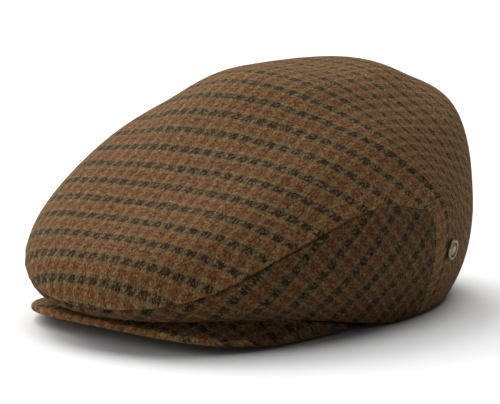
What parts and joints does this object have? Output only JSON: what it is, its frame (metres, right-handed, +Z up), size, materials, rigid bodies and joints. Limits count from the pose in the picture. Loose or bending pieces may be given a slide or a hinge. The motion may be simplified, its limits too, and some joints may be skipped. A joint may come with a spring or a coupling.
{
  "type": "ivy cap",
  "caption": "Flat ivy cap in checked wool tweed: one-piece top, crescent side panels, a short cloth-covered visor and a small metal side stud.",
  "frame": {"origin": "on the surface that the cap stands on, under the middle of the whole cap", "axes": "+Z up, -Y the front of the cap, where the visor is, +X the wearer's left"},
  "size_m": [0.1958, 0.2625, 0.122],
  "materials": {
    "wool_tweed": "fuzzy woven check",
    "antique_brass": "aged satin"
  },
  "bodies": {
    "root": {"top_panel": "wool_tweed", "side_panel_left": "wool_tweed", "side_panel_right": "wool_tweed", "visor": "wool_tweed", "side_stud": "antique_brass"}
  },
  "joints": []
}
